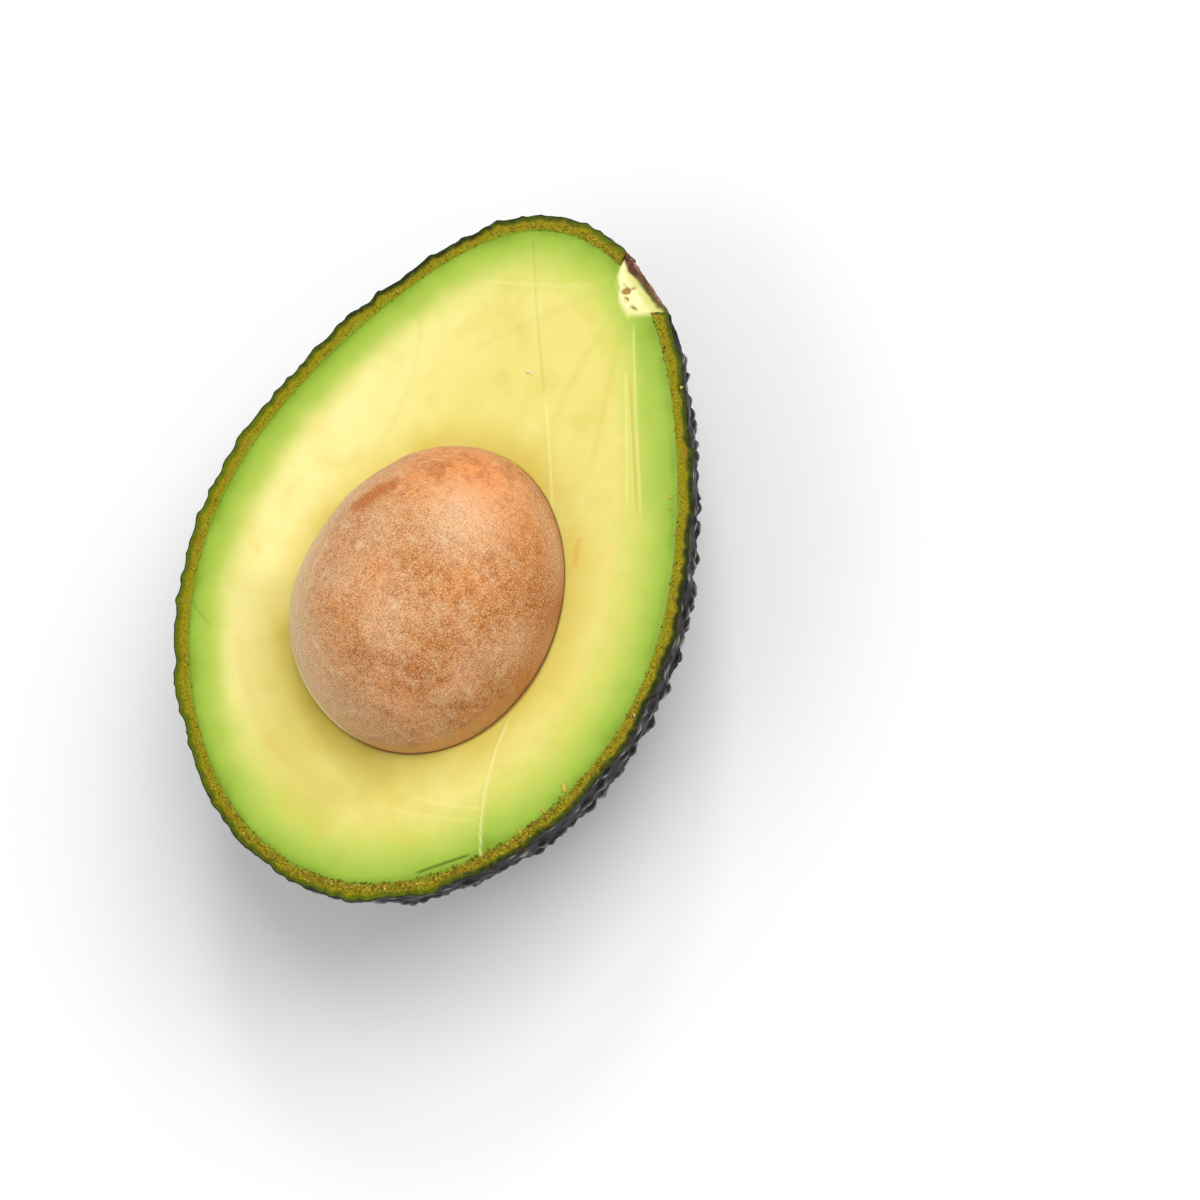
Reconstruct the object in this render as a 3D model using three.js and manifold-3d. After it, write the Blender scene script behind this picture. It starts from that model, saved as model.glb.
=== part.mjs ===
// Half an avocado, cut lengthwise through its stem, lying on its back with the stone still in it.
// Four pieces: the pebbled skin, the flesh in it, the stone, and the cut half of the stem button.
// Millimetres, +Z up. The origin is the centre of the small flat spot that the skin rests on.

import * as THREE from 'three';
import { mergeVertices } from 'three/addons/utils/BufferGeometryUtils.js';
import Module from 'manifold-3d';

const wasm = await Module();
wasm.setup();

// The fruit's own frame has the cut face in z = 0, the back below it and the stem end towards +Y.
// At the height t, from -1 at the blossom end to 1 at the stem end, the section across the fruit is a
// round of half-width widthAt(t), and its middle stands at middleAt(t) from the long axis.
const HALF_LENGTH = 52.5;
const HALF_WIDTH = 37.1;
const NECK_TAPER = 6.4; // narrower towards the stem
const END_FULLNESS = -5.7; // how the two ends draw in
const SHOULDER = 3.5;
const TIP_ROUNDNESS = 3.6;
const MIDDLE_SHIFT = 0.3; // the fruit's sides are not alike, so its middle wanders from the long axis
const MIDDLE_LEAN = -1.8;
const MIDDLE_BEND = -0.6;
const MIDDLE_TWIST = -0.8;
const DEPTH_RATIO = 0.97; // depth of the back over its half-width

const SKIN = 2.3; // thickness of the peel
const GAP = 0.3; // clearance between pieces that touch in the real fruit

// The pebbles of the skin stand on an even spiral, each moved a little and each of its own size.
const PEBBLES = 880; // round the whole fruit, of which the lower half is kept
const PEBBLE_RADIUS = 2.4;
const PEBBLE_HEIGHT = 1.2;
const PEBBLE_PEAK = 1.5; // how pointed a pebble is, 1 for a dome
const PEBBLE_SPREAD = 0.35; // how much the sizes differ
const PEBBLE_SCATTER = 0.03; // how far a pebble strays from the spiral, in radians
const VALLEY_DEPTH = 0.35; // the floor between pebbles, under the mean surface
const SMOOTH_ROUND_STEM = 13; // the pebbles fade out within this distance of the stem
const GOLDEN_TURN = Math.PI * (3 - Math.sqrt(5));

// The stone is an egg on the cut plane, half of it standing out of the flesh.
const STONE_CENTRE = new THREE.Vector3(1.6, -7.2, 0);
const STONE_HALF_LENGTH = 23.0;
const STONE_HALF_WIDTH = 19.4;
const STONE_HALF_HEIGHT = 19.8;
const STONE_TAPER = 0.067; // slimmer towards the stem
const STONE_TURN = 0.8; // degrees from the long axis

// The stem button is a plug that narrows inwards, cut in half with the fruit.
const BUTTON_CENTRE = new THREE.Vector3(8.9, 48.1, 0);
const BUTTON_LEAN = 30; // degrees of its axis from the long axis
const BUTTON_RADIUS = 5.7;
const BUTTON_INNER_RADIUS = 2.4;
const BUTTON_DEPTH = 4.6;
const BUTTON_RIM_HEIGHT = 0.35; // a low rim stands round its broken end
const BUTTON_RIM_WIDTH = 1.05;
const BUTTON_SIDES = 28;
const BUTTON_HOLE_REACH = 20; // how far the hole for it is cut outwards

// How the half lies: turned until its weight is over the flat spot.
const REST_TILT = -6; // degrees about X
const FLAT_DEPTH = 0.7; // how far the flat spot cuts into the back
const LOWEST_STEPS = 20000;

// Rows of facets from pole to pole over a quarter of each body.
const SKIN_ROWS = 50;
const FLESH_ROWS = 15;
const STONE_ROWS = 15;

const REACH = 200; // larger than the fruit, for the cutting blocks
const NORMAL_STEP = 0.01;
const MERGE_DISTANCE = 1e-4;

const polynomial = (t, ...terms) => terms.reduceRight((sum, term) => sum * t + term, 0);
const widthAt = (t) => polynomial(t, HALF_WIDTH, -NECK_TAPER, END_FULLNESS, SHOULDER, TIP_ROUNDNESS);
const middleAt = (t) => polynomial(t, MIDDLE_SHIFT, MIDDLE_LEAN, MIDDLE_BEND, MIDDLE_TWIST);

// A repeatable random number from -1 to 1.
const MULTIPLIER = 1664525;
const INCREMENT = 1013904223;
const MODULUS = 2 ** 32;
let seed = 20260;
function draw() {
	seed = (seed * MULTIPLIER + INCREMENT) % MODULUS;
	return (2 * seed) / MODULUS - 1;
}

// The fruit's smooth surface in the direction of a point on the unit sphere.
function fruitPoint(n) {
	const width = widthAt(n.y);
	return new THREE.Vector3(middleAt(n.y) + width * n.x, HALF_LENGTH * n.y, DEPTH_RATIO * width * n.z);
}

// Zero on the fruit's surface, and growing outwards.
function fruitField(p) {
	const t = p.y / HALF_LENGTH;
	const width = widthAt(t);
	return ((p.x - middleAt(t)) / width) ** 2 + t * t + (p.z / (DEPTH_RATIO * width)) ** 2 - 1;
}

function fruitNormal(p) {
	const slope = ['x', 'y', 'z'].map((axis) => {
		const ahead = p.clone();
		const behind = p.clone();
		ahead[axis] += NORMAL_STEP;
		behind[axis] -= NORMAL_STEP;
		return fruitField(ahead) - fruitField(behind);
	});
	return new THREE.Vector3(...slope).normalize();
}

// Where the pebbles stand, and how wide and high each one is.
function scatterPebbles() {
	const pebbles = [];
	for (let i = 0; i < PEBBLES; i++) {
		const n = new THREE.Vector3();
		n.z = 1 - (2 * i + 1) / PEBBLES;
		n.x = Math.sqrt(1 - n.z * n.z) * Math.cos(GOLDEN_TURN * i);
		n.y = Math.sqrt(1 - n.z * n.z) * Math.sin(GOLDEN_TURN * i);
		n.add(new THREE.Vector3(draw(), draw(), draw()).multiplyScalar(PEBBLE_SCATTER)).normalize();
		const at = fruitPoint(n);
		const size = 1 + PEBBLE_SPREAD * draw();
		const fade = THREE.MathUtils.smoothstep(at.distanceTo(BUTTON_CENTRE), BUTTON_RADIUS, SMOOTH_ROUND_STEM);
		pebbles.push({ at, radius: PEBBLE_RADIUS * Math.sqrt(size), top: PEBBLE_HEIGHT * size * fade });
	}
	return pebbles.filter((pebble) => pebble.at.z < PEBBLE_RADIUS);
}

function pebbleHeight(p, pebbles) {
	let height = 0;
	for (const { at, radius, top } of pebbles) {
		const away = p.distanceTo(at) / radius;
		if (away < 1) height = Math.max(height, top * (1 - away * away) ** PEBBLE_PEAK);
	}
	return height;
}

// A round body as a closed mesh: each point of a faceted unit sphere goes where the function puts it.
function roundBody(rows, place) {
	const geometry = new THREE.OctahedronGeometry(1, rows - 1);
	const position = geometry.getAttribute('position');
	const n = new THREE.Vector3();
	for (let i = 0; i < position.count; i++) {
		const p = place(n.fromBufferAttribute(position, i));
		position.setXYZ(i, p.x, p.y, p.z);
	}
	return geometry;
}

// The whole fruit, its surface moved out by the given function of the place on it.
function fruitBody(rows, outset) {
	return roundBody(rows, (n) => {
		const p = fruitPoint(n);
		return p.addScaledVector(fruitNormal(p), outset(p));
	});
}

// The stone, or with a clearance the hollow that it leaves.
function stoneBody(clearance) {
	const geometry = roundBody(STONE_ROWS, (n) => {
		const slim = 1 - STONE_TAPER * n.y;
		return new THREE.Vector3(
			(STONE_HALF_WIDTH * slim + clearance) * n.x,
			(STONE_HALF_LENGTH + clearance) * n.y,
			(STONE_HALF_HEIGHT * slim + clearance) * n.z,
		);
	});
	geometry.rotateZ(THREE.MathUtils.degToRad(STONE_TURN));
	return geometry.translate(STONE_CENTRE.x, STONE_CENTRE.y, STONE_CENTRE.z);
}

// A turned body on the stem's axis, from its [radius, height] profile. Height 0 is the button's broken end.
function onStem(profile) {
	const points = profile.map(([radius, height]) => new THREE.Vector2(radius, height));
	const geometry = new THREE.LatheGeometry(points, BUTTON_SIDES);
	geometry.rotateZ(-THREE.MathUtils.degToRad(BUTTON_LEAN));
	return geometry.translate(BUTTON_CENTRE.x, BUTTON_CENTRE.y, BUTTON_CENTRE.z);
}

function buttonBody() {
	return onStem([
		[0, -BUTTON_DEPTH],
		[BUTTON_INNER_RADIUS, -BUTTON_DEPTH],
		[BUTTON_RADIUS, 0],
		[BUTTON_RADIUS - BUTTON_RIM_HEIGHT, BUTTON_RIM_HEIGHT],
		[BUTTON_RADIUS - BUTTON_RIM_WIDTH, 0],
		[0, 0],
	]);
}

function buttonHole() {
	return onStem([
		[0, -BUTTON_DEPTH - GAP],
		[BUTTON_INNER_RADIUS + GAP, -BUTTON_DEPTH - GAP],
		[BUTTON_RADIUS + GAP, 0],
		[BUTTON_RADIUS + GAP, BUTTON_HOLE_REACH],
		[0, BUTTON_HOLE_REACH],
	]);
}

// A closed mesh as a solid that can be cut and joined.
function solid(geometry) {
	const bare = geometry.clone();
	bare.deleteAttribute('normal');
	bare.deleteAttribute('uv');
	const merged = mergeVertices(bare, MERGE_DISTANCE);
	return new wasm.Manifold(new wasm.Mesh({
		numProp: 3,
		vertProperties: merged.getAttribute('position').array,
		triVerts: new Uint32Array(merged.index.array),
	}));
}

// A solid as a named mesh.
function meshOf(name, manifold, material) {
	const { vertProperties, triVerts } = manifold.getMesh();
	const geometry = new THREE.BufferGeometry();
	geometry.setAttribute('position', new THREE.BufferAttribute(vertProperties, 3));
	geometry.setIndex(new THREE.BufferAttribute(triVerts, 1));
	geometry.computeVertexNormals();
	const mesh = new THREE.Mesh(geometry, material);
	mesh.name = name;
	return mesh;
}

// The lowest point of the smooth back once the half is turned to how it lies.
function lowestPoint(down) {
	let lowest = new THREE.Vector3();
	for (let i = 0; i <= LOWEST_STEPS; i++) {
		const angle = (Math.PI * i) / LOWEST_STEPS;
		const p = fruitPoint(new THREE.Vector3(0, Math.cos(angle), -Math.sin(angle)));
		if (p.dot(down) > lowest.dot(down)) lowest = p;
	}
	return lowest;
}

// How the half is turned, and the centre of its flat spot in the fruit's frame.
const tilt = new THREE.Euler(THREE.MathUtils.degToRad(REST_TILT), 0, 0);
const turned = new THREE.Quaternion().setFromEuler(tilt);
const down = new THREE.Vector3(0, 0, -1).applyQuaternion(turned.clone().invert());
const restPoint = lowestPoint(down).addScaledVector(down, -FLAT_DEPTH);

const block = new THREE.BoxGeometry(REACH, REACH, REACH);
const aboveCut = solid(block.clone().translate(0, 0, REACH / 2));
const belowRest = block.clone().translate(0, 0, -REACH / 2).applyQuaternion(turned.clone().invert());
belowRest.translate(restPoint.x, restPoint.y, restPoint.z);

const pebbles = scatterPebbles();
const skin = solid(fruitBody(SKIN_ROWS, (p) => pebbleHeight(p, pebbles) - VALLEY_DEPTH))
	.subtract(solid(fruitBody(FLESH_ROWS, () => -SKIN)))
	.subtract(aboveCut)
	.subtract(solid(belowRest))
	.subtract(solid(buttonHole()));
const flesh = solid(fruitBody(FLESH_ROWS, () => -SKIN - GAP))
	.subtract(aboveCut)
	.subtract(solid(stoneBody(GAP)))
	.subtract(solid(buttonHole()));
const stone = solid(stoneBody(0));
const button = solid(buttonBody()).subtract(aboveCut);

const materials = {
	skin: new THREE.MeshStandardMaterial({ color: 0x2b2226, roughness: 0.5, metalness: 0 }),
	flesh: new THREE.MeshStandardMaterial({ color: 0xd9d873, roughness: 0.45, metalness: 0 }),
	stone: new THREE.MeshStandardMaterial({ color: 0xb67c50, roughness: 0.8, metalness: 0 }),
	button: new THREE.MeshStandardMaterial({ color: 0xdfd49a, roughness: 0.7, metalness: 0 }),
};

// The pieces stand in the fruit's frame, and the turned group lays the half down.
const half = new THREE.Group();
half.add(meshOf('skin', skin, materials.skin));
half.add(meshOf('flesh', flesh, materials.flesh));
half.add(meshOf('stone', stone, materials.stone));
half.add(meshOf('stem_button', button, materials.button));
half.quaternion.copy(turned);
half.position.copy(restPoint).applyQuaternion(turned).negate();

const avocado = new THREE.Group();
avocado.add(half);

export default avocado;
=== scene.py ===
"""Half an avocado, lying on its back with the stone still in it.

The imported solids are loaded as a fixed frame. Each piece is modelled finely in its solid's place, in the
fruit's own frame, and is then laid down. In that frame the cut face is z = 0, the back lies below it and the
stem end points to +Y.
"""

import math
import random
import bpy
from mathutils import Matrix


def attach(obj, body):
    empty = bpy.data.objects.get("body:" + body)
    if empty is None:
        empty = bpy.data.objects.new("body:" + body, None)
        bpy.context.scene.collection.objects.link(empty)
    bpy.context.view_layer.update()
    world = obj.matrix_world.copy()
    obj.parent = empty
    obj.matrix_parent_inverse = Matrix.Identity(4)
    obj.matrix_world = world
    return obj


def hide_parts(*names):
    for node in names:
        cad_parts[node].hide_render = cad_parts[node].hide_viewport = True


bl_info = {
    "name": "Avocado Half",
    "version": (1, 0, 0),
    "blender": (4, 5, 0),
    "location": "View3D > Sidebar > Avocado",
    "description": "Models a halved avocado with its stone, and lights it on a pale floor",
    "category": "Add Mesh",
}

import bmesh
import bpy
from bpy.props import FloatProperty, FloatVectorProperty, IntProperty, PointerProperty
from mathutils import Matrix, Vector, kdtree, noise

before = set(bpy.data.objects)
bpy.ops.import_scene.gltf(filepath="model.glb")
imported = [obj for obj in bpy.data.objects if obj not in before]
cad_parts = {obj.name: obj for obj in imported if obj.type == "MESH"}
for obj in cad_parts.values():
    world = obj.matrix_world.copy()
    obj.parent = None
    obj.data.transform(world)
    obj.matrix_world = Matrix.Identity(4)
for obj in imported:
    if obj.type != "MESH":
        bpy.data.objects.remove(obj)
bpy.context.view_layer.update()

MM = 0.001
GOLDEN_TURN = math.pi * (3 - math.sqrt(5))


def linear(value):
    """A colour's part given from 0 to 255, as the linear value that Blender works in."""
    return ((value / 255 + 0.055) / 1.055) ** 2.4 if value > 10 else value / 255 / 12.92


def srgb(red, green, blue):
    return linear(red), linear(green), linear(blue)


def number(name, description, default, **limits):
    return FloatProperty(name=name, description=description, default=default, **limits)


def length(name, description, millimetres):
    return number(name, description, millimetres * MM, unit="LENGTH", precision=5)


def slope_angle(name, description, degrees):
    return number(name, description, math.radians(degrees), subtype="ANGLE")


def middle(name, description, x, y):
    return FloatVectorProperty(
        name=name, description=description, default=(x * MM, y * MM, 0), subtype="XYZ"
    )


def colour(name, description, red, green, blue):
    return FloatVectorProperty(
        name=name, description=description, default=srgb(red, green, blue), subtype="COLOR", min=0, max=1
    )


class FruitShape(bpy.types.PropertyGroup):
    """The smooth form of the fruit and how the half lies."""

    half_length: length("Half Length", "From the middle to the stem end", 52.5)
    half_width: length("Half Width", "From the middle to the side", 37.1)
    neck_taper: length("Neck Taper", "How much narrower it is towards the stem", 6.4)
    end_fullness: length("End Fullness", "How the two ends draw in", -5.7)
    shoulder: length("Shoulder", "How full the shoulders are", 3.5)
    tip_roundness: length("Tip Roundness", "How round the two tips are", 3.6)
    middle_shift: length("Middle Shift", "How far its middle is from the long axis", 0.3)
    middle_lean: length("Middle Lean", "How its middle leans off the long axis", -1.8)
    middle_bend: length("Middle Bend", "How its middle bends", -0.6)
    middle_twist: length("Middle Twist", "How its middle bends back", -0.8)
    depth_ratio: number("Depth Ratio", "Depth of the back over the half-width", 0.97)
    rest_tilt: slope_angle("Rest Tilt", "Lean of the cut face", -6)
    flat_depth: length("Flat Depth", "How far the flat spot cuts into the back", 0.7)


class SkinLook(bpy.types.PropertyGroup):
    """The pebbled peel and its cut edge."""

    thickness: length("Thickness", "Thickness of the peel", 2.3)
    knobs: IntProperty(name="Knobs", description="Knobs round the whole fruit", default=2300, min=1)
    knob_radius: length("Knob Radius", "Radius of a middling knob at its foot", 1.25)
    knob_height: length("Knob Height", "Height of a middling knob", 0.72)
    swell: length("Swell", "Height of the broad swells under the knobs", 0.5)
    ridge: length("Ridge", "Height of the ridges that join the knobs", 0.3)
    ground: colour("Ground", "Leathery skin between the knobs", 30, 20, 26)
    hollow: colour("Hollow", "Deepest skin", 6, 4, 5)
    knob: colour("Knob", "Tops of most knobs", 30, 17, 12)
    green_knob: colour("Green Knob", "Tops of the greener knobs", 58, 58, 8)
    scar: colour("Scar", "Small corky scars", 140, 86, 44)
    cut_green: colour("Cut Green", "Outer band of the cut edge", 98, 112, 4)
    # painted shade: the outer band drawn darker where it lies in shade, set by direction round the rim
    cut_painted_shade: colour("Cut Shade", "Darker stretches of the outer band", 42, 50, 6)
    cut_ochre: colour("Cut Ochre", "Grainy inner band of the cut edge", 148, 138, 4)
    grain: colour("Grain", "Brighter grains of the inner band", 190, 168, 26)
    gap: colour("Gap", "Between the grains", 58, 54, 4)
    stain: colour("Stain", "Browner parts of the inner band", 156, 112, 24)
    cut_lime: colour("Cut Lime", "Innermost line of the cut edge", 134, 160, 36)
    stem_rust: colour("Stem Rust", "Outer band beside the stem", 92, 54, 34)
    stem_ochre: colour("Stem Ochre", "Inner band beside the stem", 150, 108, 20)
    outline: colour("Outline", "Outermost line of the cut edge", 24, 20, 14)
    pore: colour("Pore", "Fine pores of the cut edge", 30, 34, 4)


class FleshLook(bpy.types.PropertyGroup):
    """The flesh and the marks on its cut face."""

    lime: colour("Lime", "Beside the skin", 130, 163, 38)
    green: colour("Green", "A little way in from the skin", 158, 189, 62)
    pale_green: colour("Pale Green", "Where green turns to yellow", 190, 206, 88)
    cream: colour("Cream", "Where the yellow begins", 214, 216, 104)
    butter: colour("Butter", "The pale yellow middle", 233, 221, 124)
    # partly painted shade beside the stone, partly the flesh's own golden clouds
    gold_and_shade: colour("Gold", "Beside the stone and in clouds", 218, 194, 78)
    scar: colour("Scar", "Raised lines left by the knife", 250, 245, 172)
    vein: colour("Vein", "Faint vessels", 186, 174, 58)
    rust: colour("Rust", "Rusty streak", 222, 148, 56)
    pale_side: colour("Pale Side", "The palest flesh, left of the stone", 255, 242, 170)
    # painted shadow cast by the stone on the flesh below it
    painted_stone_shadow: colour("Olive", "Darker flesh below the stone", 186, 164, 44)
    fringe: colour("Fringe", "Round the stem button", 252, 244, 166)
    green_vein: colour("Green Vein", "Vessels and nicks close to the skin", 60, 92, 18)
    # painted contact shade: the thin line where the flesh meets the stone
    painted_contact_shade: colour("Brown", "Thin line along the stone", 150, 112, 40)


class StoneLook(bpy.types.PropertyGroup):
    """The stone and its downy brown coat."""

    centre: middle("Centre", "Centre on the cut face", 1.6, -7.2)
    half_length: length("Half Length", "Half its length", 23.0)
    half_width: length("Half Width", "Half its width", 19.4)
    half_height: length("Half Height", "How far it stands out of the cut face", 19.8)
    taper: number("Taper", "How much slimmer it is towards the stem", 0.067)
    turn: slope_angle("Turn", "Turn from the long axis", 0.8)
    down: colour("Down", "The downy coat", 206, 139, 80)
    # partly real pale dust, partly painted sheen on the lower-left limb and a painted highlight
    bloom_and_sheen: colour("Bloom", "Pale dust on the coat", 244, 214, 172)
    blotch: colour("Blotch", "Darker blotches", 166, 90, 34)
    amber_and_light: colour("Amber", "Warm parts of the coat", 238, 152, 88)
    # also painted light: the brighter warm tone of the upper side, where the light falls
    ruddy: colour("Ruddy", "Side turned to the right", 176, 98, 18)
    band: colour("Band", "Smooth margin along the flesh", 218, 164, 92)
    spot: colour("Spot", "Single blotches", 172, 92, 34)
    bare: colour("Bare", "Bare patch at its upper left", 186, 98, 26)
    dark_speck: colour("Dark Speck", "Dark specks of the down", 150, 80, 32)
    pale_speck: colour("Pale Speck", "Pale specks of the down", 248, 208, 156)
    # painted contact shade where the stone meets the flesh
    foot: colour("Foot", "Line where it meets the flesh", 120, 70, 28)
    # painted highlight along the lower-left limb
    lip: colour("Lip", "The same line at its lower left", 252, 236, 190)


class StemLook(bpy.types.PropertyGroup):
    """The cut half of the stem button."""

    centre: middle("Centre", "Centre of its broken end", 8.9, 48.1)
    lean: slope_angle("Lean", "Angle from the long axis", 30)
    radius: length("Radius", "Radius of the broken end", 5.7)
    inner_radius: length("Inner Radius", "Radius of the end inside the fruit", 2.4)
    depth: length("Depth", "How deep it sits", 4.6)
    wood: colour("Wood", "Cut through the button", 251, 247, 184)
    pith: colour("Pith", "Brown pits in the cut", 152, 104, 34)
    cork: colour("Cork", "Its outside", 186, 132, 84)
    crust: colour("Crust", "Dark crust round its outside", 78, 44, 36)
    yellow_wood: colour("Yellow Wood", "Yellower clouds in the cut", 240, 224, 138)
    green_corner: colour("Green Corner", "Left corner of the cut", 184, 206, 88)
    green_wood: colour("Green Wood", "Cut beside the crust", 206, 210, 96)
    red_crust: colour("Red Crust", "Redder parts of the crust", 112, 64, 44)
    green_crust: colour("Green Crust", "Right end of the crust", 98, 86, 36)


class StageLook(bpy.types.PropertyGroup):
    """The floor, the lights and the camera."""

    floor: colour("Floor", "Colour of the floor", 252, 252, 252)
    sky: number("Sky", "Strength of the even light", 0.44, min=0)
    key: number("Key", "Power of the soft main light in watts", 12.5, min=0)
    fill: number("Fill", "Power of the weak light from the left in watts", 3.0, min=0)
    glint: number("Glint", "Power of the small light for glints in watts", 2.0, min=0)
    distance: length("Camera Distance", "From the cut face to the camera", 700)


class Avocado(bpy.types.PropertyGroup):
    """All the sizes and colours."""

    shape: PointerProperty(type=FruitShape)
    skin: PointerProperty(type=SkinLook)
    flesh: PointerProperty(type=FleshLook)
    stone: PointerProperty(type=StoneLook)
    stem: PointerProperty(type=StemLook)
    stage: PointerProperty(type=StageLook)


def polynomial(t, terms):
    total = 0.0
    for term in reversed(terms):
        total = total * t + term
    return total


def slope_of(terms):
    return [power * term for power, term in enumerate(terms)][1:]


def smooth(low, high, value):
    """From 0 at low to 1 at high, gently."""
    t = min(max((value - low) / (high - low), 0.0), 1.0)
    return t * t * (3 - 2 * t)


def bump_of(distance, width):
    """A rounded hump over a line or a point: 1 on it and 0 from the width on."""
    return (1 - min(distance / width, 1.0) ** 2) ** 2


def grain(p, size):
    """Noise from -1 to 1 whose waves are about as long as the size."""
    return noise.noise(p / size)


class Fruit:
    """The fruit's smooth form, as in the solids."""

    def __init__(self, shape):
        self.half_length = shape.half_length
        self.depth_ratio = shape.depth_ratio
        self.width_terms = (
            shape.half_width, -shape.neck_taper, shape.end_fullness, shape.shoulder, shape.tip_roundness
        )
        self.middle_terms = (shape.middle_shift, shape.middle_lean, shape.middle_bend, shape.middle_twist)
        tilt = Matrix.Rotation(shape.rest_tilt, 4, "X")
        down = tilt.inverted() @ Vector((0, 0, -1))
        steps = 4000
        slants = (math.pi * i / steps for i in range(steps))
        around = (Vector((0, math.cos(slant), -math.sin(slant))) for slant in slants)
        lowest = max((self.point(n) for n in around), key=lambda p: p.dot(down))
        self.rest = lowest - down * shape.flat_depth
        self.lay = tilt @ Matrix.Translation(-self.rest)

    def point(self, n):
        """The surface in the direction of a point on the unit sphere."""
        width = polynomial(n.y, self.width_terms)
        return Vector((
            polynomial(n.y, self.middle_terms) + width * n.x,
            self.half_length * n.y,
            self.depth_ratio * width * n.z,
        ))

    def slope(self, p):
        """How the fruit's field rises at a point, and the field there, which is 1 on the surface."""
        t = p.y / self.half_length
        width = polynomial(t, self.width_terms)
        x = (p.x - polynomial(t, self.middle_terms)) / width
        z = p.z / (self.depth_ratio * width)
        widening = polynomial(t, slope_of(self.width_terms)) / width
        moving = polynomial(t, slope_of(self.middle_terms)) / width
        along = (t - x * moving - (x * x + z * z) * widening) / self.half_length
        return Vector((x / width, along, z / (self.depth_ratio * width))), x * x + t * t + z * z

    def normal(self, p):
        return self.slope(p)[0].normalized()

    def depth(self, p):
        """About how far a point is below the surface."""
        rise, field = self.slope(p)
        size = math.sqrt(field)
        return (1 - size) * size / max(rise.length, 1e-6)

    def inside(self, n, depth):
        """The point at a depth below the surface in the direction of a point on the unit sphere."""
        p = self.point(n)
        return p - self.normal(p) * depth


class StoneForm:
    """The stone's form: an egg with a few flatter flanks."""

    # Direction and spread in degrees, and depth in millimetres.
    FLANKS = ((177, 24, 0.55), (252, 22, 0.6), (337, 26, 0.5))
    FLANK_HEIGHT = 0.35  # how far upwards a flank faces
    FULLNESS = 0.15 * MM  # how much fuller the egg is between the flanks

    def __init__(self, look):
        self.place = Matrix.Translation(look.centre) @ Matrix.Rotation(look.turn, 4, "Z")
        self.back = self.place.inverted()
        self.half = Vector((look.half_width, look.half_length, look.half_height))
        self.taper = look.taper
        self.flanks = []
        for direction, spread, depth in self.FLANKS:
            turn = math.radians(direction)
            flank = Vector((math.cos(turn), math.sin(turn), self.FLANK_HEIGHT)).normalized()
            self.flanks.append((flank, spread, depth * MM))

    def point(self, n, clearance=0.0):
        """The surface, or a clearance outside it, in the direction of a point on the unit sphere."""
        slim = 1 - self.taper * n.y
        reach = self.FULLNESS
        for flank, spread, depth in self.flanks:
            away = math.degrees(flank.angle(n))
            reach -= depth * math.exp(-0.5 * (away / spread) ** 2)
        out = clearance + reach
        return self.place @ Vector((
            (self.half.x * slim + out) * n.x,
            (self.half.y + out) * n.y,
            (self.half.z * slim + out) * n.z,
        ))

    def outside(self, p):
        """About how far a point of the cut face is from the stone."""
        q = self.back @ p
        t = q.y / self.half.y
        slim = 1 - self.taper * t
        x = q.x / (self.half.x * slim)
        size = max(math.hypot(x, t), 1e-6)
        rise = math.hypot(x / (self.half.x * slim), t / self.half.y) / size
        return (size - 1) / rise


class Stem:
    """The stem's axis and the tapered plug round it."""

    PALE_EDGE = ((3.9, 49.4), (7.5, 41.8))  # left edge of the plug's pale part, in millimetres

    def __init__(self, look):
        self.centre = Vector(look.centre)
        self.axis = Vector((math.sin(look.lean), math.cos(look.lean), 0))
        self.across = Vector((math.cos(look.lean), -math.sin(look.lean), 0))
        self.radius = look.radius
        self.inner_radius = look.inner_radius
        self.depth = look.depth

    def local(self, p):
        """Distance across the axis, height along it and turn round it."""
        q = p - self.centre
        height = q.dot(self.axis)
        across = q.dot(self.across)
        return math.hypot(across, q.z), height, math.atan2(q.z, across)

    def radius_at(self, height):
        inwards = min(max(-height / self.depth, 0.0), 1.0)
        return self.radius + (self.inner_radius - self.radius) * inwards

    def under(self, p):
        """How far the cut face lies lower under the plug."""
        across, height, _ = self.local(p)
        inside = min(self.radius_at(height) - across, height + self.depth, 0.6 * MM - height)
        return 0.9 * MM * smooth(0.5 * MM, 1.3 * MM, inside)

    def paleness(self, p):
        """From 0 left of the plug's pale part to 1 in it."""
        start, end = (Vector((x * MM, y * MM, 0)) for x, y in self.PALE_EDGE)
        beyond = (end - start).normalized().cross(p - start).z / MM
        return smooth(-0.5, 0.3, beyond + 0.3 * grain(p, 1.5 * MM))

    def beside(self, p):
        """How far a point of the cut face is outside the plug."""
        across, height, _ = self.local(p)
        return max(across - self.radius_at(height), -height - self.depth, 0.0)

    def point(self, across, height, turn):
        """The point at a distance across the axis, after a turn down from the cut face."""
        flat = self.centre + self.axis * height + self.across * (across * math.cos(turn))
        return flat - Vector((0, 0, abs(across) * math.sin(turn)))


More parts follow.
